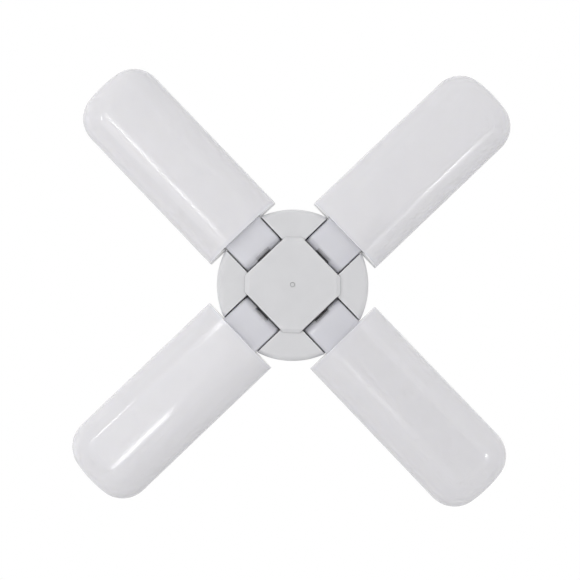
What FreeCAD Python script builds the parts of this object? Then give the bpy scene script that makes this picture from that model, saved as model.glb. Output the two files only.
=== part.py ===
"""Folding four-blade lamp with a screw cap.

The cap points up (+Z) and the lit faces look down (-Z). The origin is the centre of the cap's bottom rim.
Most pieces are drawn in a frame whose height 0 is the level of the four hinge axes; that frame hangs
hinge_drop below the origin. Blade 1 lies along +X and the others follow at quarter turns.
"""
import FreeCAD, Part
import math
import os

import Sketcher

DOC = FreeCAD.newDocument("folding_lamp")
BLADES = 4
# An end arc needs a radius a hair over half its chord.
ARC_MARGIN = 1.0001

# alias: millimetres (or a count, or degrees)
DRIVING = {
    # hub
    "hub_radius": 42.0,
    "hub_wall": 2.0,
    "cover_plate": 2.2,
    "lobe_proud": 1.0,
    "rim_round": 3.0,
    "centre_raise": 1.4,
    "centre_reach": 26.3,
    "centre_slope_width": 2.2,
    "centre_slope_drop": 1.1,
    "edge_round": 0.5,
    "gate_mark_radius": 1.4,
    "gate_mark_width": 0.5,
    "gate_mark_depth": 0.25,
    "slot_side_gap": 0.55,
    "cheek_wall": 3.0,
    "slot_end_wall": 1.8,
    "slot_roof_gap": 0.4,
    "band_height": 10.0,
    "back_plate": 2.2,
    "back_round": 2.5,
    "tower_foot_radius": 25.0,
    "tower_top_radius": 20.5,
    "tower_height": 28.0,
    "tower_wall": 2.1,
    "foot_round": 3.0,
    "shoulder_round": 4.0,
    "collar_radius": 15.2,
    "collar_height": 7.0,
    "collar_edge": 0.8,
    "vent_count": 16,
    "vent_width": 2.4,
    "vent_height": 16.0,
    "vent_start": 17.0,
    # hinges
    "hinge_drop": 50.0,
    "hinge_offset": 27.5,
    "barrel_radius": 5.2,
    "barrel_gap": 0.5,
    "cut_overrun": 1.0,
    "neck_width": 25.6,
    "neck_wall": 1.8,
    "neck_edge": 1.2,
    "lead_channel": 15.0,
    "window_width": 9.4,
    "window_depth": 2.5,
    "notch_depth": 0.8,
    "pin_radius": 2.0,
    "pin_inner": 7.8,
    "pin_end_gap": 0.35,
    "pin_play": 0.06,
    "ring_thickness": 1.6,
    "ring_radius": 3.6,
    "ring_depth": 1.3,
    "ring_play": 0.1,
    # blades
    "blade_inset": 1.5,
    "blade_gap": 0.4,
    "blade_length": 114.8,
    "blade_width": 50.0,
    "tip_corner": 16.5,
    "tip_arc": 70.0,
    "blade_wall": 1.8,
    "crown_depth": 8.0,
    "crown_slope_width": 12.0,
    "crown_slope_drop": 3.0,
    "crown_side_round": 8.0,
    "crown_top_round": 20.0,
    "split_height": 3.0,
    "tray_back": 10.0,
    "tray_round": 3.0,
    "rib_count": 5,
    "rib_pitch": 7.5,
    "rib_width": 1.6,
    "rib_height": 1.0,
    "rib_margin": 14.0,
    "support_spacing": 28.0,
    "support_width": 1.6,
    # light boards
    "board_thickness": 1.2,
    "board_margin": 0.8,
    "screw_margin": 11.5,
    "board_screw_count": 3,
    "post_radius": 3.2,
    "led_length": 3.5,
    "led_width": 2.8,
    "led_height": 0.7,
    "led_row_offset": 9.5,
    "led_margin": 11.2,
    "led_count": 12,
    # screws
    "screw_radius": 1.3,
    "screw_play": 0.05,
    "screw_length": 5.0,
    "head_radius": 2.4,
    "head_height": 1.6,
    "head_crown_radius": 1.7,
    "head_rim_height": 0.8,
    "screw_end_gap": 0.4,
    "recess_width": 0.7,
    "recess_length": 2.6,
    "recess_depth": 0.8,
    "case_screw_circle": 31.0,
    "case_screw_length": 12.0,
    "case_boss_radius": 3.5,
    "case_recess_depth": 2.6,
    "case_recess_radius": 3.0,
    # driver
    "driver_board_radius": 19.6,
    "driver_board_thickness": 1.6,
    "driver_board_height": 14.0,
    "driver_screw_circle": 17.0,
    "driver_boss_radius": 2.6,
    "driver_boss_height": 22.0,
    "socket_width": 7.5,
    "socket_length": 6.0,
    "socket_height": 4.5,
    "socket_inner": 11.0,
    "lead_radius": 0.7,
    "lead_spacing": 3.2,
    "lead_height": 1.0,
    "lead_overlap": 6.0,
    "lead_gap": 0.3,
    "lead_bend": 4.5,
    # components on the driver board: place of the middle, then size
    "transformer_y": 9.0,
    "transformer_length": 13.0,
    "transformer_width": 11.0,
    "transformer_height": 12.0,
    "capacitor_x": 7.5,
    "capacitor_y": -6.0,
    "capacitor_radius": 4.0,
    "capacitor_height": 15.0,
    "choke_x": -4.5,
    "choke_y": -12.0,
    "choke_radius": 3.5,
    "choke_height": 9.0,
    "film_capacitor_x": -8.8,
    "film_capacitor_y": -5.2,
    "film_capacitor_length": 9.5,
    "film_capacitor_width": 4.5,
    "film_capacitor_height": 9.0,
    "rectifier_x": 0.5,
    "rectifier_y": -3.5,
    "rectifier_length": 5.0,
    "rectifier_width": 4.0,
    "rectifier_height": 2.5,
    "fuse_x": 14.0,
    "fuse_length": 9.0,
    "fuse_width": 3.5,
    # screw cap
    "neck_bore": 9.4,
    "spigot_height": 18.0,
    "cap_radius": 13.1,
    "cap_bore": 11.5,
    "cap_fit": 0.1,
    "skirt_radius": 13.4,
    "skirt_height": 4.0,
    "thread_pitch": 3.629,
    "thread_turns": 4.0,
    "thread_round": 1.0,
    "thread_root": 12.25,
    "rim_gap": 1.2,
    "rim_height": 1.2,
    "rim_radius": 12.8,
    "insulator_height": 7.0,
    "insulator_rim": 3.2,
    "insulator_top_radius": 6.5,
    "contact_radius": 5.0,
    "contact_height": 2.0,
    "contact_base": 0.6,
    "contact_crown_radius": 2.75,
    "stem_radius": 1.5,
    "tab_radius": 6.5,
    "tab_thickness": 0.6,
    "live_offset": 5.5,
    "neutral_offset": 8.6,
}


def fill_sheet():
    """One row per driving dimension, each with its name as alias."""
    sheet = DOC.addObject("Spreadsheet::Sheet", "Sizes")
    for row, (alias, number) in enumerate(DRIVING.items(), start=1):
        sheet.set(f"A{row}", alias)
        sheet.set(f"B{row}", str(number))
        sheet.setAlias(f"B{row}", alias)
    DOC.recompute()
    return sheet


SHEET = fill_sheet()


class Size:
    """A length worked out from the sheet: its present value, and the same sum as an expression."""

    def __init__(self, value, text):
        self.value = float(value)
        self.text = text

    @staticmethod
    def of(other):
        if isinstance(other, Size):
            return other
        return Size(other, repr(float(other)))

    def combine(self, other, sign, value):
        return Size(value, f"({self.text} {sign} {other.text})")

    def __add__(self, other):
        other = Size.of(other)
        return self.combine(other, "+", self.value + other.value)

    def __sub__(self, other):
        other = Size.of(other)
        return self.combine(other, "-", self.value - other.value)

    def __mul__(self, other):
        other = Size.of(other)
        return self.combine(other, "*", self.value * other.value)

    def __truediv__(self, other):
        other = Size.of(other)
        return self.combine(other, "/", self.value / other.value)

    def __neg__(self):
        return Size(0, "0") - self

    def squared(self):
        return self * self


def root(size):
    return Size(math.sqrt(size.value), f"sqrt({size.text})")


def size(alias):
    return Size(SHEET.get(alias), f"Sizes.{alias}")


ZERO = Size(0, "0")
S = {alias: size(alias) for alias in DRIVING}

# heights above the hinge axes, and distances from the hub's axis, that several pieces share
lobe_face = -(S["barrel_radius"] + S["lobe_proud"])
centre_face = lobe_face - S["centre_raise"]
slot_half = S["neck_width"] / 2 + S["slot_side_gap"]
slot_end = S["hinge_offset"] - S["barrel_radius"] - S["barrel_gap"]
slot_roof = S["barrel_radius"] + S["slot_roof_gap"]
slot_mouth = S["hub_radius"] + S["cut_overrun"]
cheek_outer = slot_half + S["cheek_wall"]
wall_inner = slot_end - S["slot_end_wall"]
hub_inner = S["hub_radius"] - S["hub_wall"]
pin_outer = cheek_outer - S["pin_end_gap"]
cap_base = S["hinge_drop"]
spigot_radius = S["cap_bore"] - S["cap_fit"]
spigot_top = cap_base + S["spigot_height"]
tower_top = S["band_height"] + S["tower_height"]
collar_foot = cap_base - S["collar_height"]
driver_board_top = S["driver_board_height"]
driver_board_foot = driver_board_top - S["driver_board_thickness"]
blade_start = S["hub_radius"] - S["blade_inset"]
blade_tip = blade_start + S["blade_length"]
wall_end = blade_start + S["blade_wall"]
board_screw_start = blade_start + S["screw_margin"]
board_screw_pitch = (S["blade_length"] - S["screw_margin"] * 2) / (S["board_screw_count"] - 1)
led_start = blade_start + S["led_margin"]
led_pitch = (S["blade_length"] - S["led_margin"] * 2) / (S["led_count"] - 1)
board_back = S["split_height"]
board_front = board_back - S["board_thickness"]
tray_floor = S["tray_back"] - S["blade_wall"]
case_screw_seat = S["band_height"] - S["case_recess_depth"]

# ---------------------------------------------------------------- drawing helpers


def bind(thing, prop, length):
    thing.setExpression(prop, Size.of(length).text)


def new_body(label, height=ZERO, turn=0.0):
    """A body at a height, turned about the hub's axis."""
    body = DOC.addObject("PartDesign::Body", label)
    body.Label = label
    body.Placement = FreeCAD.Placement(
        FreeCAD.Vector(0, 0, Size.of(height).value), FreeCAD.Rotation(FreeCAD.Vector(0, 0, 1), turn)
    )
    bind(body, ".Placement.Base.z", height)
    return body


def hinge_body(label, turn=0.0):
    return new_body(label, -S["hinge_drop"], turn)


def origin_part(body, role):
    return next(item for item in body.Origin.OriginFeatures if item.Role == role)


def new_sketch(body, name, role="XY_Plane", offset=ZERO):
    """A sketch on one of the body's own planes; offset is along the plane's normal."""
    sketch = body.newObject("Sketcher::SketchObject", f"{body.Name}_{name}")
    sketch.AttachmentSupport = [(origin_part(body, role), "")]
    sketch.MapMode = "FlatFace"
    bind(sketch, ".AttachmentOffset.Base.z", offset)
    return sketch


def pin_point(sketch, element, point, x, y):
    """Ties one point of the sketch to its two coordinates."""
    for kind, axis, length in (("DistanceX", -2, x), ("DistanceY", -1, y)):
        length = Size.of(length)
        if length.text == "0" or length.text == "0.0":
            sketch.addConstraint(Sketcher.Constraint("PointOnObject", element, point, axis))
            continue
        number = sketch.addConstraint(Sketcher.Constraint(kind, -1, 1, element, point, length.value))
        bind(sketch, f"Constraints[{number}]", length)


def flat(x, y):
    return FreeCAD.Vector(Size.of(x).value, Size.of(y).value, 0)


def arc_edge(start, end, radius):
    """The lesser arc from start to end, which bulges to the right of that line."""
    along = end - start
    half = along.Length / 2
    side = FreeCAD.Vector(along.y, -along.x, 0) / along.Length
    height = radius - math.sqrt(max(radius * radius - half * half, 0))
    middle = (start + end) / 2 + side * height
    return Part.Arc(start, middle, end)


def draw_outline(sketch, corners, arcs=None, closed=True):
    """Sides through the corners, anticlockwise; arcs maps a corner's number to the radius of the side that
    leaves it."""
    arcs = arcs or {}
    places = [flat(x, y) for x, y in corners]
    sides = len(corners) if closed else len(corners) - 1
    ends = []
    for number in range(sides):
        start, end = places[number], places[(number + 1) % len(corners)]
        if number not in arcs:
            sketch.addGeometry(Part.LineSegment(start, end), False)
            ends.append((1, 2))
            continue
        radius = Size.of(arcs[number])
        sketch.addGeometry(arc_edge(start, end, radius.value), False)
        tie = sketch.addConstraint(Sketcher.Constraint("Radius", number, radius.value))
        bind(sketch, f"Constraints[{tie}]", radius)
        begins_here = (sketch.getPoint(number, 1) - start).Length < 1e-6
        ends.append((1, 2) if begins_here else (2, 1))
    for number in range(sides if closed else sides - 1):
        after = (number + 1) % sides
        sketch.addConstraint(
            Sketcher.Constraint("Coincident", number, ends[number][1], after, ends[after][0])
        )
    for number, (x, y) in enumerate(corners[:sides]):
        pin_point(sketch, number, ends[number][0], x, y)
    if not closed:
        pin_point(sketch, sides - 1, ends[-1][1], *corners[-1])


def draw_box(sketch, left, right, low, high):
    draw_outline(sketch, [(left, low), (right, low), (right, high), (left, high)])


def draw_circle(sketch, radius, x=ZERO, y=ZERO):
    radius = Size.of(radius)
    number = sketch.addGeometry(Part.Circle(flat(x, y), FreeCAD.Vector(0, 0, 1), radius.value), False)
    tie = sketch.addConstraint(Sketcher.Constraint("Radius", number, radius.value))
    bind(sketch, f"Constraints[{tie}]", radius)
    pin_point(sketch, number, 3, x, y)


def grow(body, kind, name, sketch, length=None, reverse=False, middle=False):
    """A Pad or a Pocket of the sketch. With no length a Pocket goes through everything."""
    feature = body.newObject(f"PartDesign::{kind}", f"{body.Name}_{name}")
    feature.Profile = sketch
    if length is None:
        feature.Type = "ThroughAll"
    else:
        bind(feature, "Length", length)
    feature.Reversed = reverse
    if middle:
        feature.SideType = "Symmetric"
    body.Tip = feature
    return feature


def pad(body, name, sketch, length, **options):
    return grow(body, "Pad", name, sketch, length, **options)


def pocket(body, name, sketch, length=None, **options):
    return grow(body, "Pocket", name, sketch, length, **options)


def spin(body, name, sketch, cut=False):
    """A full turn of the sketch about the body's upright axis."""
    kind = "Groove" if cut else "Revolution"
    feature = body.newObject(f"PartDesign::{kind}", f"{body.Name}_{name}")
    feature.Profile = sketch
    feature.ReferenceAxis = (sketch, ["V_Axis"])
    feature.Angle = 360.0
    body.Tip = feature
    return feature


def repeat_round(body, name, features, count=BLADES):
    """Copies features round the body's upright axis."""
    pattern = body.newObject("PartDesign::PolarPattern", f"{body.Name}_{name}")
    pattern.Originals = features
    pattern.Axis = (origin_part(body, "Z_Axis"), [""])
    pattern.Angle = 360.0
    if isinstance(count, Size):
        bind(pattern, "Occurrences", count)
    else:
        pattern.Occurrences = count
    body.Tip = pattern
    return pattern


def repeat_along(body, name, features, role, spacing, count):
    """Copies features in a row along one of the body's axes."""
    pattern = body.newObject("PartDesign::LinearPattern", f"{body.Name}_{name}")
    pattern.Originals = features
    pattern.Direction = (origin_part(body, role), [""])
    pattern.Mode = "Spacing"
    bind(pattern, "Offset", spacing)
    if isinstance(count, Size):
        bind(pattern, "Occurrences", count)
    else:
        pattern.Occurrences = count
    body.Tip = pattern
    return pattern


def mirror(body, name, features, role="XZ_Plane"):
    copy = body.newObject("PartDesign::Mirrored", f"{body.Name}_{name}")
    copy.Originals = features
    copy.MirrorPlane = (origin_part(body, role), [""])
    body.Tip = copy
    return copy


def edges_where(body, test):
    """Names of the edges of the body's last feature that pass the test, in the body's own frame."""
    DOC.recompute()
    shape = body.Tip.Shape
    return [f"Edge{number}" for number, edge in enumerate(shape.Edges, start=1) if test(edge)]


def dress(body, kind, name, test, length, across=None):
    """A Fillet or a Chamfer on the edges that pass the test. A chamfer may differ across its second face."""
    names = edges_where(body, test)
    base = body.Tip
    feature = body.newObject(f"PartDesign::{kind}", f"{body.Name}_{name}")
    feature.Base = (base, names)
    bind(feature, "Radius" if kind == "Fillet" else "Size", length)
    if across is not None:
        feature.ChamferType = "Two distances"
        bind(feature, "Size2", across)
    body.Tip = feature
    return feature


def near(number, length):
    return abs(number - Size.of(length).value) < 0.01


def all_at_height(edge, height):
    box = edge.BoundBox
    return near(box.ZMin, height) and near(box.ZMax, height)


def is_ring(edge, radius, height):
    """A circle about the hub's axis with this radius, at this height."""
    if not all_at_height(edge, height) or not hasattr(edge.Curve, "Radius"):
        return False
    centre = edge.Curve.Center
    return near(edge.Curve.Radius, radius) and near(centre.x, 0) and near(centre.y, 0)


# ---------------------------------------------------------------- shapes that several pieces share


def slot_block_corners():
    """Plan of the walls round one slot, ending inside the hub's outer wall."""
    rim = S["hub_radius"] - S["hub_wall"] / 2
    at_cheek = root(rim.squared() - cheek_outer.squared())
    at_slot = root(rim.squared() - slot_half.squared())
    return [
        (wall_inner, -cheek_outer),
        (at_cheek, -cheek_outer),
        (at_slot, -slot_half),
        (at_slot, slot_half),
        (at_cheek, cheek_outer),
        (wall_inner, cheek_outer),
    ]


def cut_hinge_seats(body):
    """Half-round seats in the cheeks for the hinge pins, with wider pockets for the friction rings."""
    seats = new_sketch(body, "pin_seats", "XZ_Plane")
    draw_circle(seats, S["pin_radius"] + S["pin_play"], S["hinge_offset"])
    seat = pocket(body, "pin_seat", seats, (cheek_outer + S["cut_overrun"]) * 2, middle=True)
    rings = new_sketch(body, "ring_seats", "XZ_Plane")
    draw_circle(rings, S["ring_radius"] + S["ring_play"], S["hinge_offset"])
    ring = pocket(body, "ring_seat", rings, (slot_half + S["ring_depth"]) * 2, middle=True)
    return repeat_round(body, "all_hinge_seats", [seat, ring])


def diagonal(circle):
    """One coordinate of a point on the diagonal at this distance from the axis."""
    return Size.of(circle) / root(Size(2, "2"))


def blade_outline(sketch, inset):
    """The blade's plan: straight sides, square inner end, round corners and a slightly bowed tip."""
    inset = Size.of(inset)
    half = S["blade_width"] / 2
    corner_y = half - S["tip_corner"]
    bow_x = blade_tip - S["tip_arc"]
    reach = S["tip_arc"] - S["tip_corner"]
    corner_x = bow_x + root(reach.squared() - corner_y.squared())
    side = half - inset
    start = blade_start + inset
    stretch = (S["tip_arc"] - inset) / reach
    join_x = bow_x + (corner_x - bow_x) * stretch
    join_y = corner_y * stretch
    corner = S["tip_corner"] - inset
    draw_outline(
        sketch,
        [
            (start, -side),
            (corner_x, -side),
            (join_x, -join_y),
            (join_x, join_y),
            (corner_x, side),
            (start, side),
        ],
        {1: corner, 2: S["tip_arc"] - inset, 3: corner},
    )


def neck_outline(sketch, radius, outer, side):
    """Side view of half of the neck, above (side 1) or below (side -1) the hinge axis."""
    axis = S["hinge_offset"]
    if side < 0:
        corners = [(axis - radius, ZERO), (axis, -radius), (outer, -radius), (outer, ZERO)]
        draw_outline(sketch, corners, {0: radius})
    else:
        corners = [(axis - radius, ZERO), (outer, ZERO), (outer, radius), (axis, radius)]
        draw_outline(sketch, corners, {3: radius})


def hollow_neck(body, side):
    """The lead channel and the pin bores of one half of the neck, and the lead window in its barrel.

    The window is open in the upper half. In the front half it is a shallow notch with a round floor.
    """
    axis = S["hinge_offset"]
    window = new_sketch(body, "window_plan")
    inner_end = axis - S["barrel_radius"]
    half = S["window_width"] / 2
    draw_box(window, inner_end - S["cut_overrun"], inner_end + S["window_depth"], -half, half)
    reach = S["barrel_radius"] if side < 0 else S["window_depth"]
    pocket(body, "window", window, reach, reverse=side > 0)
    if side < 0:
        floor = new_sketch(body, "window_floor", "XZ_Plane")
        neck_outline(floor, S["barrel_radius"] - S["notch_depth"], axis + S["cut_overrun"], side)
        pad(body, "window_floor", floor, S["window_width"], middle=True)
    channel = new_sketch(body, "channel_side", "XZ_Plane")
    neck_outline(channel, S["barrel_radius"] - S["neck_wall"], wall_end + S["cut_overrun"], side)
    pocket(body, "channel", channel, S["lead_channel"], middle=True)
    bore = new_sketch(body, "bore_side", "XZ_Plane")
    draw_circle(bore, S["pin_radius"], axis)
    pocket(body, "pin_bore", bore, S["neck_width"] + S["cut_overrun"], middle=True)


def screw_outline(sketch, x, seat, length, up=True):
    """Half section of a pan-head screw: its head stands off the seat on one side, its shank on the other."""
    sign = 1 if up else -1
    head = seat + S["head_height"] * sign
    rim = seat + S["head_rim_height"] * sign
    end = seat - Size.of(length) * sign
    corners = [
        (x, head),
        (x + S["head_crown_radius"], head),
        (x + S["head_radius"], rim),
        (x + S["head_radius"], seat),
        (x + S["screw_radius"], seat),
        (x + S["screw_radius"], end),
        (x, end),
    ]
    draw_outline(sketch, corners if not up else corners[::-1])
    return head


# ---------------------------------------------------------------- hub


def make_front_cover():
    """Round face plate with four slots, a raised eight-sided middle and half of the hinge seats."""
    body = hinge_body("front_cover")
    disc = new_sketch(body, "disc", offset=lobe_face)
    draw_circle(disc, S["hub_radius"])
    pad(body, "plate", disc, -lobe_face)
    dress(body, "Fillet", "rim", lambda e: is_ring(e, S["hub_radius"], lobe_face), S["rim_round"])
    inside = new_sketch(body, "inside")
    draw_circle(inside, hub_inner)
    pocket(body, "hollow", inside, -lobe_face - S["cover_plate"])
    block = new_sketch(body, "slot_block")
    draw_outline(block, slot_block_corners())
    block = pad(body, "slot_walls", block, -lobe_face - S["cover_plate"] / 2, reverse=True)
    repeat_round(body, "all_slot_walls", [block])
    middle = new_sketch(body, "middle", offset=centre_face)
    short = root(Size(2, "2")) * S["centre_reach"] - slot_end
    corners = []
    for turn in range(4):
        for x, y in ((slot_end, -short), (slot_end, short)):
            for _ in range(turn):
                x, y = -y, x
            corners.append((x, y))
    draw_outline(middle, corners)
    pad(body, "raised_middle", middle, S["centre_raise"] + S["cover_plate"] / 2)
    slope_sizes = S["centre_slope_drop"], S["centre_slope_width"]
    dress(body, "Chamfer", "middle_slope", is_short_side, *slope_sizes)
    dress(body, "Fillet", "middle_edges", lambda e: all_at_height(e, centre_face), S["edge_round"])
    slot = new_sketch(body, "slot")
    draw_box(slot, slot_end, slot_mouth, -slot_half, slot_half)
    slot = pocket(body, "slot", slot)
    repeat_round(body, "slots", [slot])
    dress(body, "Fillet", "face_edges", is_face_edge, S["edge_round"])
    cut_hinge_seats(body)
    boss_place = diagonal(S["case_screw_circle"])
    boss = new_sketch(body, "boss")
    draw_circle(boss, S["case_boss_radius"], boss_place, boss_place)
    boss = pad(body, "boss", boss, -lobe_face - S["cover_plate"] / 2, reverse=True)
    repeat_round(body, "bosses", [boss])
    hole = new_sketch(body, "screw_hole")
    draw_circle(hole, S["screw_radius"] + S["screw_play"], boss_place, boss_place)
    hole = pocket(body, "screw_hole", hole, S["case_screw_length"] - case_screw_seat + S["screw_end_gap"])
    repeat_round(body, "screw_holes", [hole])
    cut_lead_holes(body)
    mark = new_sketch(body, "gate_mark", offset=centre_face)
    draw_circle(mark, S["gate_mark_radius"])
    draw_circle(mark, S["gate_mark_radius"] - S["gate_mark_width"])
    pocket(body, "gate_mark", mark, S["gate_mark_depth"], reverse=True)
    return body


def is_short_side(edge):
    """One of the four short front edges of the raised middle."""
    if not all_at_height(edge, centre_face) or len(edge.Vertexes) < 2:
        return False
    along = edge.Vertexes[1].Point - edge.Vertexes[0].Point
    return abs(abs(along.x) - abs(along.y)) < 0.01


def is_face_edge(edge):
    """The straight front edge of a lobe beside a slot."""
    box = edge.BoundBox
    along_x = near(box.YMin, box.YMax) and near(abs(box.YMin), slot_half)
    along_y = near(box.XMin, box.XMax) and near(abs(box.XMin), slot_half)
    return all_at_height(edge, lobe_face) and (along_x or along_y)


def cut_lead_holes(body, above=False):
    """Openings in the slots' inner ends, where the blades' leads enter the hub."""
    hole = new_sketch(body, "lead_hole")
    half = S["window_width"] / 2
    draw_box(hole, wall_inner - S["cut_overrun"], slot_end + S["cut_overrun"], -half, half)
    hole = pocket(body, "lead_hole", hole, S["window_depth"], reverse=above)
    repeat_round(body, "lead_holes", [hole])


def make_rear_housing():
    """Back half of the hub: the outer band, the vented tower over the driver, and the cap's spigot."""
    body = hinge_body("rear_housing")
    outer = new_sketch(body, "outer", "XZ_Plane")
    draw_outline(
        outer,
        [
            (ZERO, ZERO),
            (S["hub_radius"], ZERO),
            (S["hub_radius"], S["band_height"]),
            (S["tower_foot_radius"], S["band_height"]),
            (S["tower_top_radius"], tower_top),
            (S["collar_radius"], collar_foot),
            (S["collar_radius"], cap_base),
            (spigot_radius, cap_base),
            (spigot_radius, spigot_top),
            (ZERO, spigot_top),
        ],
    )
    spin(body, "shell", outer)
    rings = (
        ("back_edge", S["hub_radius"], S["band_height"], S["back_round"]),
        ("tower_foot", S["tower_foot_radius"], S["band_height"], S["foot_round"]),
        ("tower_shoulder", S["tower_top_radius"], tower_top, S["shoulder_round"]),
        ("collar_edge", S["collar_radius"], cap_base, S["collar_edge"]),
    )
    for name, radius, height, rounding in rings:
        dress(body, "Fillet", name, lambda e, r=radius, h=height: is_ring(e, r, h), rounding)
    inner = new_sketch(body, "inner", "XZ_Plane")
    foot = S["tower_foot_radius"] - S["tower_wall"]
    plate_foot = S["band_height"] - S["back_plate"]
    draw_outline(
        inner,
        [
            (ZERO, ZERO),
            (hub_inner, ZERO),
            (hub_inner, plate_foot),
            (foot, plate_foot),
            (S["tower_top_radius"] - S["tower_wall"], tower_top - S["tower_wall"] / 2),
            (S["neck_bore"], collar_foot + S["cut_overrun"]),
            (S["neck_bore"], spigot_top),
            (ZERO, spigot_top),
        ],
    )
    spin(body, "hollow", inner, cut=True)
    vent = new_sketch(body, "vent", "YZ_Plane", offset=S["neck_bore"])
    half = S["vent_width"] / 2
    low = S["vent_start"]
    draw_vent(vent, half, low, low + S["vent_height"])
    vent = pocket(body, "vent", vent, S["tower_foot_radius"], reverse=True)
    repeat_round(body, "vents", [vent], S["vent_count"])
    block = new_sketch(body, "slot_block")
    draw_outline(block, slot_block_corners())
    block = pad(body, "slot_walls", block, S["band_height"] - S["back_plate"] / 2)
    repeat_round(body, "all_slot_walls", [block])
    slot = new_sketch(body, "slot")
    draw_box(slot, slot_end, slot_mouth, -slot_half, slot_half)
    slot = pocket(body, "slot", slot, slot_roof, reverse=True)
    notch = new_sketch(body, "blade_notch")
    draw_box(notch, blade_start - S["blade_gap"], slot_mouth, -slot_half, slot_half)
    notch = pocket(body, "blade_notch", notch, S["band_height"], reverse=True)
    repeat_round(body, "slots", [slot, notch])
    cut_hinge_seats(body)
    cut_lead_holes(body, above=True)
    boss_place = diagonal(S["case_screw_circle"])
    boss = new_sketch(body, "boss")
    draw_circle(boss, S["case_boss_radius"], boss_place, boss_place)
    boss = pad(body, "boss", boss, S["band_height"] - S["back_plate"] / 2)
    repeat_round(body, "bosses", [boss])
    hole = new_sketch(body, "screw_hole")
    draw_circle(hole, S["screw_radius"] + S["screw_play"], boss_place, boss_place)
    hole = pocket(body, "screw_hole", hole, reverse=True)
    recess = new_sketch(body, "screw_recess", offset=case_screw_seat)
    draw_circle(recess, S["case_recess_radius"], boss_place, boss_place)
    recess = pocket(body, "screw_recess", recess, S["case_recess_depth"] + S["cut_overrun"], reverse=True)
    repeat_round(body, "all_screw_holes", [hole, recess])
    add_driver_bosses(body)
    return body


def draw_vent(sketch, half, low, high):
    """An upright slot with round ends."""
    draw_outline(
        sketch,
        [(half, low + half), (half, high - half), (-half, high - half), (-half, low + half)],
        {1: half * ARC_MARGIN, 3: half * ARC_MARGIN},
    )


def add_driver_bosses(body):
    """Four bosses in the tower that the driver board is screwed up against."""
    place = diagonal(S["driver_screw_circle"])
    boss = new_sketch(body, "driver_boss", offset=driver_board_top)
    draw_circle(boss, S["driver_boss_radius"], place, place)
    boss = pad(body, "driver_boss", boss, S["driver_boss_height"])
    repeat_round(body, "driver_bosses", [boss])
    hole = new_sketch(body, "driver_hole", offset=driver_board_top)
    draw_circle(hole, S["screw_radius"] + S["screw_play"], place, place)
    hole = pocket(body, "driver_hole", hole, S["screw_length"], reverse=True)
    repeat_round(body, "driver_holes", [hole])


def add_screw(body, x, seat, length, up):
    """One pan-head screw upright at distance x along the body's X axis, with a cross recess."""
    section = new_sketch(body, "section", "XZ_Plane")
    head = screw_outline(section, x, seat, length, up)
    core = section.addGeometry(Part.LineSegment(flat(x, 0), flat(x, 1)), True)
    pin_point(section, core, 1, x, ZERO)
    pin_point(section, core, 2, x, Size.of(1))
    turned = body.newObject("PartDesign::Revolution", f"{body.Name}_screw")
    turned.Profile = section
    turned.ReferenceAxis = (section, ["Axis0"])
    turned.Angle = 360.0
    body.Tip = turned
    features = [turned]
    arms = ((S["recess_length"], S["recess_width"]), (S["recess_width"], S["recess_length"]))
    for number, (wide, deep) in enumerate(arms):
        cross = new_sketch(body, f"cross{number}", offset=head)
        draw_box(cross, x - wide / 2, x + wide / 2, -deep / 2, deep / 2)
        features.append(pocket(body, f"cross{number}", cross, S["recess_depth"], reverse=not up))
    return features


def make_case_screws():
    """Four screws from the back that hold the two halves of the hub together."""
    body = hinge_body("case_screws", 45.0)
    features = add_screw(body, S["case_screw_circle"], case_screw_seat, S["case_screw_length"], True)
    repeat_round(body, "all_screws", features)
    return body


def make_driver_screws():
    """Four screws from below that hold the driver board against its bosses."""
    body = hinge_body("driver_screws", 45.0)
    length = S["screw_length"] - S["lead_gap"] + S["driver_board_thickness"]
    features = add_screw(body, S["driver_screw_circle"], driver_board_foot, length, False)
    repeat_round(body, "all_screws", features)
    return body


def make_friction_rings(blade):
    """Two rubber rings round the hinge pins, which hold the blade at the angle it is set to."""
    body = hinge_body(f"friction_rings_{blade + 1}", 90.0 * blade)
    ring = new_sketch(body, "ring", "XZ_Plane", offset=S["neck_width"] / 2 + S["pin_end_gap"] / 2)
    draw_circle(ring, S["ring_radius"], S["hinge_offset"])
    draw_circle(ring, S["pin_radius"] + S["pin_play"], S["hinge_offset"])
    ring = pad(body, "ring", ring, S["ring_thickness"])
    mirror(body, "both_rings", [ring])
    return body


def make_driver_board():
    """Round circuit board, held by four screws."""
    body = hinge_body("driver_board")
    disc = new_sketch(body, "disc", offset=driver_board_foot)
    draw_circle(disc, S["driver_board_radius"])
    pad(body, "disc", disc, S["driver_board_thickness"])
    place = diagonal(S["driver_screw_circle"])
    hole = new_sketch(body, "hole", offset=driver_board_top)
    draw_circle(hole, S["screw_radius"] + S["screw_play"], place, place)
    hole = pocket(body, "hole", hole, S["driver_board_thickness"])
    repeat_round(body, "holes", [hole])
    return body


def make_block(label, centre, extent, foot=driver_board_top):
    """A rectangular component standing on the driver board."""
    box = DOC.addObject("Part::Box", label)
    box.Label = label
    (x, y), (length, width, height) = centre, extent
    bind(box, "Length", length)
    bind(box, "Width", width)
    bind(box, "Height", height)
    bind(box, ".Placement.Base.x", x - length / 2)
    bind(box, ".Placement.Base.y", y - width / 2)
    bind(box, ".Placement.Base.z", foot - S["hinge_drop"])
    return box


def make_can(label, centre, radius, height):
    """A round component standing on the driver board."""
    can = DOC.addObject("Part::Cylinder", label)
    can.Label = label
    bind(can, "Radius", radius)
    bind(can, "Height", height)
    bind(can, ".Placement.Base.x", centre[0])
    bind(can, ".Placement.Base.y", centre[1])
    bind(can, ".Placement.Base.z", driver_board_top - S["hinge_drop"])
    return can


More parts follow.
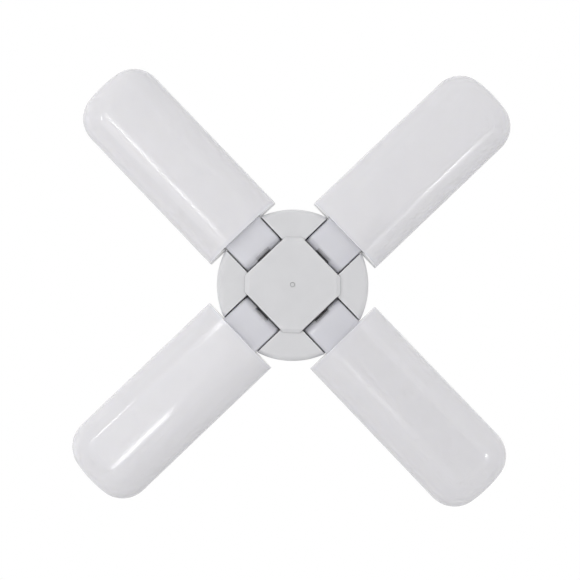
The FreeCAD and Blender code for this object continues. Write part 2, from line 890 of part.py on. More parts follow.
def make_lead_sockets():
    """Four sockets under the driver board, one for each blade's pair of leads."""
    body = hinge_body("lead_sockets")
    plan = new_sketch(body, "plan", offset=driver_board_foot)
    half = S["socket_width"] / 2
    draw_box(plan, S["socket_inner"], S["socket_inner"] + S["socket_length"], -half, half)
    socket = pad(body, "socket", plan, S["socket_height"], reverse=True)
    repeat_round(body, "all_sockets", [socket])
    return body


def make_hub_leads():
    """Four pairs of leads that drop from the sockets and bend out to the slots' inner ends."""
    body = hinge_body("hub_leads")
    x = S["socket_inner"] + S["socket_length"] / 2
    y = S["lead_spacing"] / 2
    top = driver_board_foot - S["socket_height"]
    bend = S["lead_bend"]
    level = S["lead_height"]
    route = new_sketch(body, "route", "XZ_Plane", offset=y)
    places = [(x, top), (x, level + bend), (x + bend, level), (slot_end - S["lead_gap"], level)]
    draw_outline(route, places, {1: bend}, closed=False)
    section = new_sketch(body, "section", offset=top)
    draw_circle(section, S["lead_radius"], x, -y)
    lead = body.newObject("PartDesign::AdditivePipe", f"{body.Name}_lead")
    lead.Profile = section
    lead.Spine = (route, ["Edge1", "Edge2", "Edge3"])
    body.Tip = lead
    pairs = body.newObject("PartDesign::MultiTransform", f"{body.Name}_all")
    pairs.Originals = [lead]
    other = DOC.addObject("PartDesign::Mirrored", f"{body.Name}_other_lead")
    other.MirrorPlane = (origin_part(body, "XZ_Plane"), [""])
    turns = DOC.addObject("PartDesign::PolarPattern", f"{body.Name}_turns")
    turns.Axis = (origin_part(body, "Z_Axis"), [""])
    turns.Angle = 360.0
    turns.Occurrences = BLADES
    pairs.Transformations = [other, turns]
    body.Tip = pairs
    return body


# ---------------------------------------------------------------- blades


def make_blade_tray(blade):
    """Back half of a blade: a ribbed tray with the upper half of the neck and its hinge barrel."""
    body = hinge_body(f"blade_tray_{blade + 1}", 90.0 * blade)
    plan = new_sketch(body, "plan", offset=S["split_height"])
    blade_outline(plan, 0)
    pad(body, "outer", plan, S["tray_back"] - S["split_height"])
    dress(body, "Fillet", "back_edge", lambda e: all_at_height(e, S["tray_back"]), S["tray_round"])
    inside = new_sketch(body, "inside", offset=S["split_height"])
    blade_outline(inside, S["blade_wall"])
    pocket(body, "hollow", inside, tray_floor - S["split_height"], reverse=True)
    rib = new_sketch(body, "back_rib", offset=S["tray_back"] - S["blade_wall"] / 2)
    first = -(S["rib_count"] - 1) / 2 * S["rib_pitch"]
    start = blade_start + S["rib_margin"]
    end = blade_tip - S["rib_margin"]
    draw_box(rib, start, end, first - S["rib_width"] / 2, first + S["rib_width"] / 2)
    rib = pad(body, "back_rib", rib, S["rib_height"] + S["blade_wall"] / 2)
    repeat_along(body, "back_ribs", [rib], "Y_Axis", S["rib_pitch"], S["rib_count"])
    add_board_seats(body)
    side = new_sketch(body, "neck_side", "XZ_Plane")
    neck_outline(side, S["barrel_radius"], wall_end, 1)
    pad(body, "neck", side, S["neck_width"], middle=True)
    hollow_neck(body, 1)
    return body


def add_board_seats(body):
    """Posts for the light board's screws, and two long webs that it lies on."""
    floor = tray_floor + S["blade_wall"] / 2
    seat_height = floor - S["split_height"]
    post = new_sketch(body, "post", offset=board_back)
    draw_circle(post, S["post_radius"], board_screw_start)
    post = pad(body, "post", post, seat_height)
    web = new_sketch(body, "web", offset=board_back)
    low = S["support_spacing"] / 2 - S["support_width"] / 2
    margin = S["rib_margin"]
    draw_box(web, blade_start + margin, blade_tip - margin, low, low + S["support_width"])
    web = pad(body, "web", web, seat_height)
    mirror(body, "webs", [web])
    repeat_along(body, "posts", [post], "X_Axis", board_screw_pitch, S["board_screw_count"])
    hole = new_sketch(body, "post_hole", offset=board_back)
    draw_circle(hole, S["screw_radius"] + S["screw_play"], board_screw_start)
    hole = pocket(body, "post_hole", hole, S["screw_length"], reverse=True)
    repeat_along(body, "post_holes", [hole], "X_Axis", board_screw_pitch, S["board_screw_count"])


def grow_crown(body, inset, foot):
    """A solid of the blade's plan, with a flat front that slopes off and rounds down to the sides and tip."""
    plan = new_sketch(body, "plan", offset=foot)
    blade_outline(plan, inset)
    pad(body, "crown", plan, S["split_height"] + S["crown_depth"])
    width = S["crown_slope_width"] - inset
    drop = S["crown_slope_drop"] * width / S["crown_slope_width"]

    def is_rim(edge, height):
        inner_end = near(edge.BoundBox.XMax, blade_start + inset)
        return all_at_height(edge, height) and not inner_end

    dress(body, "Chamfer", "slope", lambda e: is_rim(e, foot), drop, width)
    dress(body, "Fillet", "sides", lambda e: is_rim(e, foot + drop), S["crown_side_round"] - inset)
    dress(body, "Fillet", "front", lambda e: is_rim(e, foot), S["crown_top_round"] - inset)


def make_diffuser(blade):
    """Milky front half of a blade, with a round-edged crown and the lower half of the neck."""
    body = hinge_body(f"diffuser_{blade + 1}", 90.0 * blade)
    grow_crown(body, ZERO, -S["crown_depth"])
    core = new_body(f"diffuser_core_{blade + 1}")
    grow_crown(core, S["blade_wall"], S["blade_wall"] - S["crown_depth"])
    hollow = body.newObject("PartDesign::Boolean", f"{body.Name}_hollow")
    hollow.Type = "Cut"
    hollow.setObjects([core])
    body.Tip = hollow
    side = new_sketch(body, "neck_side", "XZ_Plane")
    neck_outline(side, S["barrel_radius"], wall_end, -1)
    pad(body, "neck", side, S["neck_width"], middle=True)
    dress(body, "Fillet", "neck_edges", is_neck_edge, S["neck_edge"])
    door = new_sketch(body, "neck_door")
    half = S["neck_width"] / 2
    draw_box(door, blade_start - S["cut_overrun"], wall_end, -half, half)
    pocket(body, "neck_door", door, S["split_height"] + S["cut_overrun"], reverse=True)
    hollow_neck(body, -1)
    return body


def is_neck_edge(edge):
    """A side edge of the neck's front, along the flat or round the barrel."""
    box = edge.BoundBox
    half = S["neck_width"] / 2
    on_side = near(abs(box.YMin), half) and near(box.YMin, box.YMax)
    inboard = box.XMin < blade_start.value - 0.01
    front = box.ZMin < -S["barrel_radius"].value + 0.01 and box.ZMax < 0.01
    return on_side and inboard and front


def make_light_board(blade):
    """Board that carries a blade's light chips."""
    body = hinge_body(f"light_board_{blade + 1}", 90.0 * blade)
    plan = new_sketch(body, "plan", offset=board_front)
    blade_outline(plan, S["blade_wall"] + S["board_margin"])
    pad(body, "plate", plan, S["board_thickness"])
    hole = new_sketch(body, "hole", offset=board_back)
    draw_circle(hole, S["screw_radius"] + S["screw_play"], board_screw_start)
    hole = pocket(body, "hole", hole, S["board_thickness"])
    repeat_along(body, "holes", [hole], "X_Axis", board_screw_pitch, S["board_screw_count"])
    return body


def make_light_chips(blade):
    """Two rows of light chips on the front of the board."""
    body = hinge_body(f"light_chips_{blade + 1}", 90.0 * blade)
    plan = new_sketch(body, "plan", offset=board_front)
    x = led_start
    y = S["led_row_offset"]
    long, wide = S["led_length"] / 2, S["led_width"] / 2
    draw_box(plan, x - long, x + long, y - wide, y + wide)
    chip = pad(body, "chip", plan, S["led_height"], reverse=True)
    rows = body.newObject("PartDesign::MultiTransform", f"{body.Name}_all")
    rows.Originals = [chip]
    line = DOC.addObject("PartDesign::LinearPattern", f"{body.Name}_row")
    line.Direction = (origin_part(body, "X_Axis"), [""])
    line.Mode = "Spacing"
    bind(line, "Offset", led_pitch)
    bind(line, "Occurrences", S["led_count"])
    other = DOC.addObject("PartDesign::Mirrored", f"{body.Name}_other_row")
    other.MirrorPlane = (origin_part(body, "XZ_Plane"), [""])
    rows.Transformations = [line, other]
    body.Tip = rows
    return body


def make_board_screws(blade):
    """Three screws that hold the light board on its posts."""
    body = hinge_body(f"board_screws_{blade + 1}", 90.0 * blade)
    length = S["screw_length"] - S["lead_gap"] + S["board_thickness"]
    features = add_screw(body, board_screw_start, board_front, length, False)
    repeat_along(body, "all_screws", features, "X_Axis", board_screw_pitch, S["board_screw_count"])
    return body


def make_hinge_pins(blade):
    """Two short steel pins that stand out of the barrel's ends into the hub's seats."""
    body = hinge_body(f"hinge_pins_{blade + 1}", 90.0 * blade)
    section = new_sketch(body, "section", "XZ_Plane", offset=S["pin_inner"])
    draw_circle(section, S["pin_radius"], S["hinge_offset"])
    pin = pad(body, "pin", section, pin_outer - S["pin_inner"])
    mirror(body, "both_pins", [pin])
    return body


def make_blade_leads(blade):
    """Two leads from the light board through the neck to the window in the barrel."""
    body = hinge_body(f"blade_leads_{blade + 1}", 90.0 * blade)
    start = S["hinge_offset"] - S["barrel_radius"] + S["window_depth"]
    end = blade_start + S["lead_overlap"]
    section = new_sketch(body, "section", "YZ_Plane", offset=start)
    draw_circle(section, S["lead_radius"], S["lead_spacing"] / 2, S["lead_height"])
    lead = pad(body, "lead", section, end - start)
    mirror(body, "pair", [lead])
    return body


# ---------------------------------------------------------------- screw cap


def make_cap_shell():
    """Plated shell of the screw cap, with a plain skirt below its rounded thread and a rim above it."""
    wire = S["thread_round"].value
    rise = S["thread_pitch"].value * S["thread_turns"].value
    centre = S["cap_radius"].value - wire
    foot = S["skirt_height"].value - wire / 2
    rim_foot = foot + rise + S["rim_gap"].value
    rim_height = S["rim_height"].value
    section = Part.Wire([Part.makeCircle(wire, FreeCAD.Vector(centre, 0, 0), FreeCAD.Vector(0, 1, 0))])
    spine = Part.Wire(Part.makeHelix(S["thread_pitch"].value, rise, centre).Edges)
    thread = spine.makePipeShell([section], True, True)
    thread.translate(FreeCAD.Vector(0, 0, foot))
    core = Part.makeCylinder(S["thread_root"].value, rim_foot + rim_height)
    skirt = Part.makeCylinder(S["skirt_radius"].value, S["skirt_height"].value)
    rim = Part.makeCylinder(S["rim_radius"].value, rim_height, FreeCAD.Vector(0, 0, rim_foot))
    bore = Part.makeCylinder(S["cap_bore"].value, rim_foot + rim_height)
    shell = DOC.addObject("Part::Feature", "cap_shell")
    shell.Label = "cap_shell"
    shell.Shape = core.fuse([skirt, thread]).fuse(rim).cut(bore)
    shell.Placement = FreeCAD.Placement()
    return shell


def make_cap_insulator():
    """Tapered insulator that closes the cap's end and carries the centre contact."""
    body = new_body("cap_insulator")
    section = new_sketch(body, "section", "XZ_Plane")
    foot = S["spigot_height"]
    rim = foot + S["insulator_rim"]
    top = foot + S["insulator_height"]
    bore = S["stem_radius"] + S["screw_play"]
    draw_outline(
        section,
        [
            (bore, foot),
            (spigot_radius, foot),
            (spigot_radius, rim),
            (S["insulator_top_radius"], top),
            (bore, top),
        ],
    )
    spin(body, "turned", section)
    return body


def make_centre_contact():
    """Domed centre contact with its rivet stem and solder tab."""
    body = new_body("centre_contact")
    section = new_sketch(body, "section", "XZ_Plane")
    foot = S["spigot_height"]
    top = foot + S["insulator_height"]
    crest = top + S["contact_height"]
    draw_outline(
        section,
        [
            (ZERO, foot - S["tab_thickness"]),
            (S["tab_radius"], foot - S["tab_thickness"]),
            (S["tab_radius"], foot),
            (S["stem_radius"], foot),
            (S["stem_radius"], top),
            (S["contact_radius"], top),
            (S["contact_radius"], top + S["contact_base"]),
            (S["contact_crown_radius"], crest),
            (ZERO, crest),
        ],
    )
    spin(body, "turned", section)

    def is_dome_edge(edge):
        return is_ring(edge, S["contact_crown_radius"], crest)

    dress(body, "Fillet", "dome", is_dome_edge, S["contact_base"])
    return body


def make_mains_leads():
    """The live lead to the centre contact and the neutral lead to the shell."""
    body = new_body("mains_leads")
    foot = driver_board_top - S["hinge_drop"]
    section = new_sketch(body, "live", offset=foot)
    draw_circle(section, S["lead_radius"], S["live_offset"])
    pad(body, "live", section, S["spigot_height"] - S["tab_thickness"] - foot)
    section = new_sketch(body, "neutral", offset=foot)
    draw_circle(section, S["lead_radius"], -S["neutral_offset"])
    pad(body, "neutral", section, S["spigot_height"] - foot)
    return body


# ---------------------------------------------------------------- the whole lamp


def make_driver_parts():
    """The components that stand on the driver board."""
    return [
        make_block(
            "transformer",
            (ZERO, S["transformer_y"]),
            (S["transformer_length"], S["transformer_width"], S["transformer_height"]),
        ),
        make_can(
            "smoothing_capacitor",
            (S["capacitor_x"], S["capacitor_y"]),
            S["capacitor_radius"],
            S["capacitor_height"],
        ),
        make_can("choke", (S["choke_x"], S["choke_y"]), S["choke_radius"], S["choke_height"]),
        make_block(
            "film_capacitor",
            (S["film_capacitor_x"], S["film_capacitor_y"]),
            (S["film_capacitor_length"], S["film_capacitor_width"], S["film_capacitor_height"]),
        ),
        make_block(
            "rectifier",
            (S["rectifier_x"], S["rectifier_y"]),
            (S["rectifier_length"], S["rectifier_width"], S["rectifier_height"]),
        ),
        make_block(
            "fuse_resistor",
            (S["fuse_x"], ZERO),
            (S["fuse_width"], S["fuse_length"], S["fuse_width"]),
        ),
    ]


def make_hub():
    makers = (
        make_front_cover,
        make_rear_housing,
        make_case_screws,
        make_driver_board,
        make_driver_screws,
        make_lead_sockets,
        make_hub_leads,
        make_mains_leads,
        make_cap_shell,
        make_cap_insulator,
        make_centre_contact,
    )
    return [maker() for maker in makers] + make_driver_parts()


def make_blade(blade):
    makers = (
        make_blade_tray,
        make_diffuser,
        make_light_board,
        make_light_chips,
        make_board_screws,
        make_hinge_pins,
        make_friction_rings,
        make_blade_leads,
    )
    return [maker(blade) for maker in makers]


def check(pieces):
    """Every object of the document worked out, and every piece whole."""
    DOC.recompute()
    for item in DOC.Objects:
        if "Invalid" in item.State or "Error" in item.State:
            raise RuntimeError(f"{item.Name}: {item.State}")
    for piece in pieces:
        shape = piece.Shape
        if shape.isNull() or not shape.isValid() or not shape.Solids:
            raise RuntimeError(f"{piece.Label} is not a whole solid")


def main():
    pieces = make_hub()
    for blade in range(BLADES):
        pieces += make_blade(blade)
    check(pieces)
    os.makedirs("parts", exist_ok=True)
    for piece in pieces:
        piece.Shape.exportStep(f"parts/{piece.Label}.step")
        print(piece.Label, len(piece.Shape.Solids), round(piece.Shape.Volume, 1))


main()
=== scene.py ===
"""Looks of the folding four-blade ceiling lamp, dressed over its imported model.

Everything is in metres, with the screw cap up (+Z) and the milky blades' faces down (-Z). Blade 1 lies
along +X and the others follow at quarter turns.
"""
import math

import bpy
from mathutils import Matrix, Vector

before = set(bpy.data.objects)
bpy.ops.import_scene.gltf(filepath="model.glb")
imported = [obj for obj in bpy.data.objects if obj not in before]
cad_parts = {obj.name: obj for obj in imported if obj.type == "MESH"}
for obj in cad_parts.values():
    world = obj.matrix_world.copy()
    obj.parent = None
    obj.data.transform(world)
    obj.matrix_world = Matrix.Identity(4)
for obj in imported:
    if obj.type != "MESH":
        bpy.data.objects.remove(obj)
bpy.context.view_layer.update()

MM = 0.001
WHITE = "#FFFFFF"


# ---------------------------------------------------------------- colour and node helpers


def linear(hex_colour):
    """An sRGB hex colour as linear RGBA."""
    channels = (int(hex_colour[i : i + 2], 16) / 255 for i in (1, 3, 5))
    return tuple(c / 12.92 if c <= 0.04045 else ((c + 0.055) / 1.055) ** 2.4 for c in channels) + (1.0,)


def add_node(tree, kind, settings=None, values=None, links=None):
    """A node with its properties set, its sockets filled and its inputs joined to other nodes' outputs."""
    node = tree.nodes.new(kind)
    for name, value in (settings or {}).items():
        setattr(node, name, value)
    for name, value in (values or {}).items():
        node.inputs[name].default_value = value
    for name, socket in (links or {}).items():
        tree.links.new(socket, node.inputs[name])
    return node


def compute(tree, operation, *terms):
    """One maths step on sockets and plain numbers."""
    links = {i: term for i, term in enumerate(terms) if isinstance(term, bpy.types.NodeSocket)}
    values = {i: term for i, term in enumerate(terms) if i not in links}
    return add_node(tree, "ShaderNodeMath", {"operation": operation}, values, links).outputs[0]


def new_material(name, colour, roughness, **sockets):
    """A material with one Principled shader, and the tree and shader to build on."""
    material = bpy.data.materials.new(name)
    material.use_nodes = True
    tree = material.node_tree
    shader = tree.nodes["Principled BSDF"]
    shader.inputs["Base Color"].default_value = linear(colour)
    shader.inputs["Roughness"].default_value = roughness
    for socket, value in sockets.items():
        shader.inputs[socket.replace("_", " ")].default_value = value
    return material, tree, shader


def place(tree):
    """Object coordinates, which are metres in the lamp's frame."""
    return add_node(tree, "ShaderNodeTexCoord").outputs["Object"]


def grain(tree, size, detail=3.0, stretch=None):
    """Noise whose features are about this many metres across."""
    where = place(tree)
    if stretch:
        stretched = add_node(tree, "ShaderNodeMapping", values={"Scale": stretch}, links={"Vector": where})
        where = stretched.outputs[0]
    values = {"Scale": 1 / size, "Detail": detail}
    return add_node(tree, "ShaderNodeTexNoise", values=values, links={"Vector": where}).outputs["Fac"]


def between(tree, factor, low, high, start=0.3, end=0.7):
    """A number that goes from low to high, which may be sockets, as the factor goes from start to end."""
    values = {"From Min": start, "From Max": end}
    links = {"Value": factor}
    for name, bound in (("To Min", low), ("To Max", high)):
        kept = links if isinstance(bound, bpy.types.NodeSocket) else values
        kept[name] = bound
    return add_node(tree, "ShaderNodeMapRange", values=values, links=links).outputs[0]


def tint(tree, shader, factor, first, second, start=0.3, end=0.7):
    """The shader's colour goes from the first hex to the second as the factor goes from start to end."""
    ramp = add_node(tree, "ShaderNodeValToRGB", links={"Fac": factor})
    for stop, position, colour in zip(ramp.color_ramp.elements, (start, end), (first, second)):
        stop.position = position
        stop.color = linear(colour)
    tree.links.new(ramp.outputs["Color"], shader.inputs["Base Color"])


def emboss(tree, shader, height, depth, onto=None):
    """Bumps the shader's surface by this many metres; a bump made before may be passed on."""
    bump = add_node(tree, "ShaderNodeBump", values={"Distance": depth}, links={"Height": height})
    if onto:
        tree.links.new(onto, bump.inputs["Normal"])
    tree.links.new(bump.outputs["Normal"], shader.inputs["Normal"])
    return bump.outputs["Normal"]


# Painted shade: corners open to less than the first share of the light are painted darkest; above the
# second they stay unpainted.
CORNER_SHADE_FROM, CORNER_SHADE_TO = 0.55, 0.95
CORNER_SHADE_SAMPLES = 8


def paint_corner_shade(tree, shader, reach, shade):
    """Paints shade into the shader's colour: darkens it in corners narrower than this reach, down to this
    share of its value.
    """
    colour = shader.inputs["Base Color"].links[0].from_socket
    samples = {"samples": CORNER_SHADE_SAMPLES}
    corner = add_node(tree, "ShaderNodeAmbientOcclusion", samples, {"Distance": reach}).outputs["AO"]
    kept = between(tree, corner, shade, 1.0, CORNER_SHADE_FROM, CORNER_SHADE_TO)
    corner_shaded = add_node(tree, "ShaderNodeVectorMath", {"operation": "SCALE"}, links={0: colour, "Scale": kept})
    tree.links.new(corner_shaded.outputs[0], shader.inputs["Base Color"])


# ---------------------------------------------------------------- plastics


# Light that soaks into the white plastics spreads this far and brightens the narrow gaps.
SOAK = 3 * MM
# The mould's gate leaves a small raised ring round the lamp's axis.
RING_RADIUS = 1.5 * MM
RING_WIDTH = 0.9 * MM
RING_HEIGHT = 0.18 * MM


def raise_gate_ring(tree, shader, onto):
    """Bumps up the gate's ring over a bump made before."""
    sideways = {1: (1.0, 1.0, 0.0)}
    radial = add_node(tree, "ShaderNodeVectorMath", {"operation": "MULTIPLY"}, sideways, {0: place(tree)})
    reach = add_node(tree, "ShaderNodeVectorMath", {"operation": "LENGTH"}, links={0: radial.outputs[0]})
    away = compute(tree, "ABSOLUTE", compute(tree, "SUBTRACT", reach.outputs["Value"], RING_RADIUS))
    emboss(tree, shader, between(tree, away, 1.0, 0.0, 0.0, RING_WIDTH / 2), RING_HEIGHT, onto)


def moulded_abs(name, colour, deeper, roughness, gated=False):
    """White ABS from a fine-eroded mould: an even satin skin, barely uneven over its ribs and bosses."""
    soak = {"Subsurface_Weight": 0.5, "Subsurface_Scale": SOAK, "Subsurface_Radius": (1.0, 1.0, 1.0)}
    material, tree, shader = new_material(name, colour, roughness, IOR=1.53, **soak)
    cloud = grain(tree, 14 * MM, detail=2.0)
    tint(tree, shader, cloud, colour, deeper)
    tree.links.new(between(tree, cloud, roughness - 0.04, roughness + 0.05), shader.inputs["Roughness"])
    # Slow sink waves a centimetre or so across bend the reflections a little.
    waves = emboss(tree, shader, cloud, 0.03 * MM)
    # The mould's eroded skin is about 0.1 mm; it is drawn at 0.35 mm so that it shows at all.
    skin = emboss(tree, shader, grain(tree, 0.35 * MM, detail=1.0), 0.006 * MM, waves)
    if gated:
        raise_gate_ring(tree, shader, skin)
        # Painted shade in the corners draws the edge of the raised middle.
        paint_corner_shade(tree, shader, reach=1.2 * MM, shade=0.7)
    return material


# Where the neck's painted shade, a deeper tint, ends and where the blade's own tint is full, from the
# lamp's axis.
NECK_END = 39.5 * MM
BLADE_START = 43 * MM
# The front bows out a little from side to side, about 0.4 mm over its flat width.
BOW_RADIUS = 150 * MM


def milky_polycarbonate():
    """Opal polycarbonate from a polished mould: milky, faintly blue, with a hard gloss over a soft glow."""
    soak = {"Subsurface_Weight": 0.6, "Subsurface_Scale": SOAK, "Subsurface_Radius": (1.0, 1.0, 1.1)}
    material, tree, shader = new_material("milky_polycarbonate", "#DCDDE2", 0.09, IOR=1.58, **soak)
    axes = add_node(tree, "ShaderNodeSeparateXYZ", links={"Vector": place(tree)}).outputs
    sizes = [compute(tree, "ABSOLUTE", axes[axis]) for axis in ("X", "Y")]
    along = compute(tree, "MAXIMUM", *sizes)
    across = compute(tree, "MINIMUM", *sizes)
    # Painted shade: the neck has less lit plastic behind it than the wide blade, so its colour is painted a
    # little deeper and bluer.
    shade = between(tree, along, 0.0, 1.0, NECK_END, BLADE_START)
    cloud = between(tree, grain(tree, 30 * MM, detail=1.5), -0.12, 0.12)
    tint(tree, shader, compute(tree, "ADD", shade, cloud), "#D9D9DF", "#E3E2E6", 0.0, 1.0)
    bow = compute(tree, "MULTIPLY", compute(tree, "MULTIPLY", across, across), -0.5 / BOW_RADIUS)
    # The bow's height is in metres already.
    bowed = emboss(tree, shader, bow, 1.0)
    # Long shallow waves of the moulded skin break up the lamps' reflections.
    emboss(tree, shader, grain(tree, 22 * MM, detail=1.0), 0.02 * MM, bowed)
    return material


def soft_rubber():
    """Black nitrile rubber rings, matt and slightly dusty."""
    material, tree, shader = new_material("soft_rubber", "#26262A", 0.75, IOR=1.52)
    dust = grain(tree, 0.6 * MM)
    tint(tree, shader, dust, "#222226", "#34343A")
    emboss(tree, shader, dust, 0.02 * MM)
    return material


def dull_plastic(name, colour, deeper, roughness):
    """Small moulded or sleeved electrical parts: slightly mottled, between satin and gloss."""
    material, tree, shader = new_material(name, colour, roughness, IOR=1.5)
    mottle = grain(tree, 1.2 * MM)
    tint(tree, shader, mottle, colour, deeper)
    emboss(tree, shader, mottle, 0.01 * MM)
    return material


# ---------------------------------------------------------------- metals and boards


def rolled_nickel():
    """Nickel-plated brass of a rolled screw shell: softly bright, with fine rolling lines round it."""
    material, tree, shader = new_material("rolled_nickel", "#B9B6AF", 0.24, Metallic=1.0)
    # Rolling marks are about 0.05 mm apart; they are drawn at 0.3 mm so that they show.
    marks = grain(tree, 0.3 * MM, detail=2.0, stretch=(0.03, 0.03, 1.0))
    cloud = grain(tree, 5 * MM, detail=3.0)
    tint(tree, shader, cloud, "#BDBAB4", "#A9A59B")
    # Painted shade leaves the thread's valleys darker than its crests.
    paint_corner_shade(tree, shader, reach=2.5 * MM, shade=0.3)
    tree.links.new(between(tree, marks, 0.18, 0.3), shader.inputs["Roughness"])
    emboss(tree, shader, marks, 0.004 * MM)
    return material


def steel(name, colour, deeper, roughness):
    """Zinc-plated or turned steel, with a soft uneven shine."""
    material, tree, shader = new_material(name, colour, roughness, Metallic=1.0)
    cloud = grain(tree, 1.5 * MM)
    tint(tree, shader, cloud, colour, deeper)
    tree.links.new(between(tree, cloud, roughness - 0.07, roughness + 0.08), shader.inputs["Roughness"])
    return material


def soldered_brass():
    """Tinned brass button with a dull solder bloom."""
    material, tree, shader = new_material("soldered_brass", "#B9A77C", 0.3, Metallic=1.0)
    bloom = grain(tree, 2.5 * MM)
    tint(tree, shader, bloom, "#C2B08A", "#B5B2AB")
    tree.links.new(between(tree, bloom, 0.22, 0.42), shader.inputs["Roughness"])
    emboss(tree, shader, bloom, 0.04 * MM)
    return material


def vitrite_glass():
    """Black glass of the cap's end, smooth with slow flow waves."""
    material, tree, shader = new_material("vitrite_glass", "#101014", 0.12, IOR=1.6)
    flow = grain(tree, 4 * MM, detail=1.0)
    tint(tree, shader, flow, "#0E0E12", "#1A1A20")
    emboss(tree, shader, flow, 0.08 * MM)
    return material


# Glass threads are about 0.8 mm apart; along each axis they are drawn this far apart, so that they show.
WEAVE_REPEAT = 3.158 * MM
# A diagonal wave texture of scale 1 turns through ten radians in a metre along each axis.
WEAVE_SCALE = 2 * math.pi / (10 * WEAVE_REPEAT)


def coated_board(name, colour, deeper, roughness):
    """Circuit board under its solder lacquer, with the woven glass just showing through."""
    material, tree, shader = new_material(name, colour, roughness, IOR=1.5)
    settings = {"bands_direction": "DIAGONAL"}
    values = {"Scale": WEAVE_SCALE, "Distortion": 1.0}
    weave = add_node(tree, "ShaderNodeTexWave", settings, values, {"Vector": place(tree)}).outputs["Fac"]
    tint(tree, shader, weave, colour, deeper, 0.0, 1.0)
    emboss(tree, shader, weave, 0.008 * MM)
    return material


MATERIALS = {
    "cover_plastic": moulded_abs("satin_white_abs", "#D9D9DB", "#D6D6D8", 0.42, gated=True),
    "housing_plastic": moulded_abs("housing_white_abs", "#D6D6D7", "#D2D2D4", 0.46),
    "tray_plastic": moulded_abs("tray_white_abs", "#D8D8D9", "#D4D4D6", 0.44),
    "diffuser_plastic": milky_polycarbonate(),
    "screw_steel": steel("zinc_plated_steel", "#B9BBBE", "#A6A9AE", 0.32),
    "pin_steel": steel("turned_steel", "#AEB0B3", "#9B9DA0", 0.26),
    "ring_rubber": soft_rubber(),
    "board_laminate": coated_board("green_coated_laminate", "#2E6B43", "#27603B", 0.35),
    "board_aluminium": coated_board("white_coated_board", "#E3E3E0", "#DCDCD8", 0.4),
    "light_chip": dull_plastic("yellow_phosphor", "#E8C84A", "#E0BC3C", 0.35),
    "socket_plastic": dull_plastic("nylon_socket", "#E6E2D4", "#DAD5C4", 0.45),
    "lead_insulation": dull_plastic("lead_sleeve", "#B5322C", "#A52B26", 0.4),
    "plated_cap": rolled_nickel(),
    "cap_insulation": vitrite_glass(),
    "contact_metal": soldered_brass(),
    "transformer_tape": dull_plastic("polyester_tape", "#E2B93B", "#D3A92D", 0.3),
    "capacitor_sleeve": dull_plastic("black_sleeve", "#1D1F26", "#272932", 0.28),
    "choke_sleeve": dull_plastic("shrunk_sleeve", "#24282B", "#2E3236", 0.35),
    "film_case": dull_plastic("film_capacitor_case", "#A8432F", "#9A3A28", 0.3),
    "chip_resin": dull_plastic("epoxy_chip", "#232327", "#2B2B30", 0.5),
    "resistor_coat": dull_plastic("resistor_lacquer", "#6FA08B", "#648F7C", 0.4),
}


def dress_nodes():
    """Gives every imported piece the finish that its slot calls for."""
    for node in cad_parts.values():
        for material_slot in node.material_slots:
            material_slot.material = MATERIALS[material_slot.material.name.split(".")[0]]


# ---------------------------------------------------------------- surroundings, lamps and camera

# The floor's height from the lamp's origin and its radius, in metres.
FLOOR_DROP = -760 * MM
FLOOR_REACH = 9.0
FLOOR_SIDES = 64
# The floor starts to fade into the white at the first distance and is gone at the second.
FADE_START, FADE_END = 1.2, 4.0
# How much the surroundings light matt surfaces, where the white that the eye sees is 1.
AMBIENT = 0.47
# Gloss sees white below and this brightness above.
GLOSS_ABOVE = 0.86
# It goes from one to the other as the height of the ray's direction goes from the first to the second.
ABOVE_START, ABOVE_END = -0.1, 0.2


def make_surroundings():
    """White for the eye, white to pale grey for gloss, and a lower even light on the lamp itself."""
    world = bpy.data.worlds.new("studio")
    bpy.context.scene.world = world
    world.use_nodes = True
    tree = world.node_tree
    sky = tree.nodes["Background"]
    sky.inputs["Color"].default_value = linear(WHITE)
    rays = add_node(tree, "ShaderNodeLightPath").outputs
    direction = add_node(tree, "ShaderNodeTexCoord").outputs["Generated"]
    height = add_node(tree, "ShaderNodeSeparateXYZ", links={0: direction}).outputs["Z"]
    gloss = between(tree, height, 1.0, GLOSS_ABOVE, ABOVE_START, ABOVE_END)
    unseen = between(tree, rays["Is Glossy Ray"], AMBIENT, gloss, 0.0, 1.0)
    seen = compute(tree, "MAXIMUM", rays["Is Camera Ray"], rays["Is Transmission Ray"])
    tree.links.new(between(tree, seen, unseen, 1.0, 0.0, 1.0), sky.inputs["Strength"])


def flat_sheet(name, corners, material):
    """A flat sheet with these corners, for the floor and the card."""
    mesh = bpy.data.meshes.new(name)
    mesh.from_pydata(corners, [], [range(len(corners))])
    mesh.materials.append(material)
    sheet = bpy.data.objects.new(name, mesh)
    bpy.context.scene.collection.objects.link(sheet)
    return sheet


def make_floor():
    """A plain pale floor that runs out into the white."""
    angles = [2 * math.pi * i / FLOOR_SIDES for i in range(FLOOR_SIDES)]
    rim = [(FLOOR_REACH * math.cos(angle), FLOOR_REACH * math.sin(angle), FLOOR_DROP) for angle in angles]
    material, tree, shader = new_material("pale_floor", "#F2F2F2", 0.8)
    away = add_node(tree, "ShaderNodeVectorMath", {"operation": "LENGTH"}, links={0: place(tree)})
    fade = between(tree, away.outputs["Value"], 0.0, 1.0, FADE_START, FADE_END)
    glow = add_node(tree, "ShaderNodeEmission", values={"Color": linear(WHITE), "Strength": 1.0})
    mix = add_node(tree, "ShaderNodeMixShader", links={0: fade, 1: shader.outputs[0], 2: glow.outputs[0]})
    tree.links.new(mix.outputs[0], tree.nodes["Material Output"].inputs["Surface"])
    floor = flat_sheet("floor", rim, material)


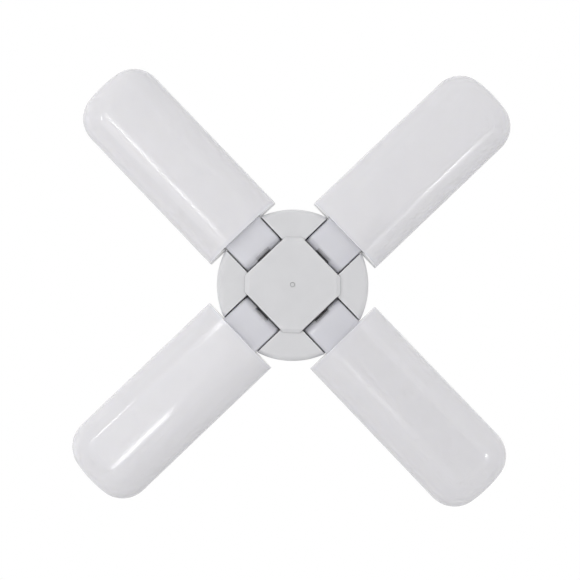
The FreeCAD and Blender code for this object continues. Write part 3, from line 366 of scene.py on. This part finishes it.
def add_lamp(name, place_mm, size_mm, radiance):
    """A rectangular lamp that faces the object from straight above or below; the camera doesn't see it.

    The sizes run along X and Y. At a radiance of 1 the lamp is as bright as the white background.
    """
    light = bpy.data.lights.new(name, "AREA")
    light.shape = "RECTANGLE"
    light.size, light.size_y = (side * MM for side in size_mm)
    light.energy = radiance * math.pi * light.size * light.size_y
    lamp = bpy.data.objects.new(name, light)
    bpy.context.scene.collection.objects.link(lamp)
    lamp.location = Vector(place_mm) * MM
    lamp.rotation_euler.x = math.pi if place_mm[2] < 0 else 0.0
    lamp.visible_camera = False
    return lamp


# The height in mm of the lamps below the object.
LAMP_LEVEL = -700
LAMPS = (
    # name, middle x and y in mm, size along x and y in mm, radiance
    ("left_window", -270, -210, 362, 468, 0.75),
    ("right_window", 270, 465, 280, 160, 1.7),
    # Slim lamps along the windows' edges draw the long thin lights on the blades.
    ("blade_4_edge", -89, -240, 12, 210, 14.0),
    ("blade_3_edge", -250, 24, 100, 12, 17.0),
    ("blade_3_rim", -290, -444, 90, 14, 26.0),
    ("blade_1_rim", 285, 377, 100, 14, 30.0),
    ("blade_2_edge", -70, 150, 12, 120, 2.4),
)
# Gloss doesn't show the wide lamp above, or the ones that shade the raised edges from the picture's sides.
WIDE_LAMPS = (
    # name, middle in mm, size along x and y in mm, radiance
    ("top_window", (900, -1150, 1200), (2000, 2000), 2.5),
    ("left_light", (-1200, -1140, -700), (1000, 1000), 5.0),
    ("right_light", (1200, 1140, -700), (1000, 1000), 2.4),
)


def make_lamps():
    """The windows and slim lamps below the object, and the wide lamps round it."""
    for name, x, y, length, width, radiance in LAMPS:
        add_lamp(name, (x, y, LAMP_LEVEL), (length, width), radiance)
    for name, place_mm, size_mm, radiance in WIDE_LAMPS:
        add_lamp(name, place_mm, size_mm, radiance).visible_glossy = False


# The card's least and greatest x and y, in mm.
CARD_X = (-62, 160)
CARD_Y = (40, 330)


def make_dark_card():
    """A dark card below the lamp that only gloss shows, so that blade 2 is the darkest."""
    (left, right), (near, far) = CARD_X, CARD_Y
    corners = ((left, near), (right, near), (right, far), (left, far))
    cloth = new_material("dark_cloth", "#303030", 0.9)[0]
    card = flat_sheet("dark_card", [Vector((x, y, LAMP_LEVEL)) * MM for x, y in corners], cloth)
    card.visible_camera = card.visible_diffuse = card.visible_shadow = card.visible_transmission = False


# Where the camera stands and looks, in mm, and how many degrees the frame's right side turns from +X.
CAMERA_PLACE = (-15.0, 18.8, -558.1)
CAMERA_AIM = (-3.0, 1.1, -56.0)
CAMERA_ROLL = 43.69
# The photograph's side and the focal length in pixels, and the sensor's width in mm.
PHOTO_SIDE = 580
FOCAL_PIXELS = 912.2
SENSOR = 36.0


def make_camera():
    """The photograph's view: from below the lamp, with the blades in a diagonal cross."""
    camera = bpy.data.cameras.new("camera")
    camera.sensor_width = SENSOR
    camera.lens = FOCAL_PIXELS / PHOTO_SIDE * SENSOR
    camera.clip_start = 10 * MM
    rig = bpy.data.objects.new("camera", camera)
    bpy.context.scene.collection.objects.link(rig)
    place_at = Vector(CAMERA_PLACE) * MM
    forward = (Vector(CAMERA_AIM) * MM - place_at).normalized()
    roll = math.radians(CAMERA_ROLL)
    level = Vector((math.cos(roll), math.sin(roll), 0))
    right = (level - forward * level.dot(forward)).normalized()
    up = right.cross(forward)
    turn = Matrix((right, up, -forward)).transposed()
    rig.matrix_world = Matrix.Translation(place_at) @ turn.to_4x4()
    bpy.context.scene.camera = rig


dress_nodes()
make_surroundings()
make_floor()
make_lamps()
make_dark_card()
make_camera()

bpy.context.scene.view_settings.view_transform = "Standard"
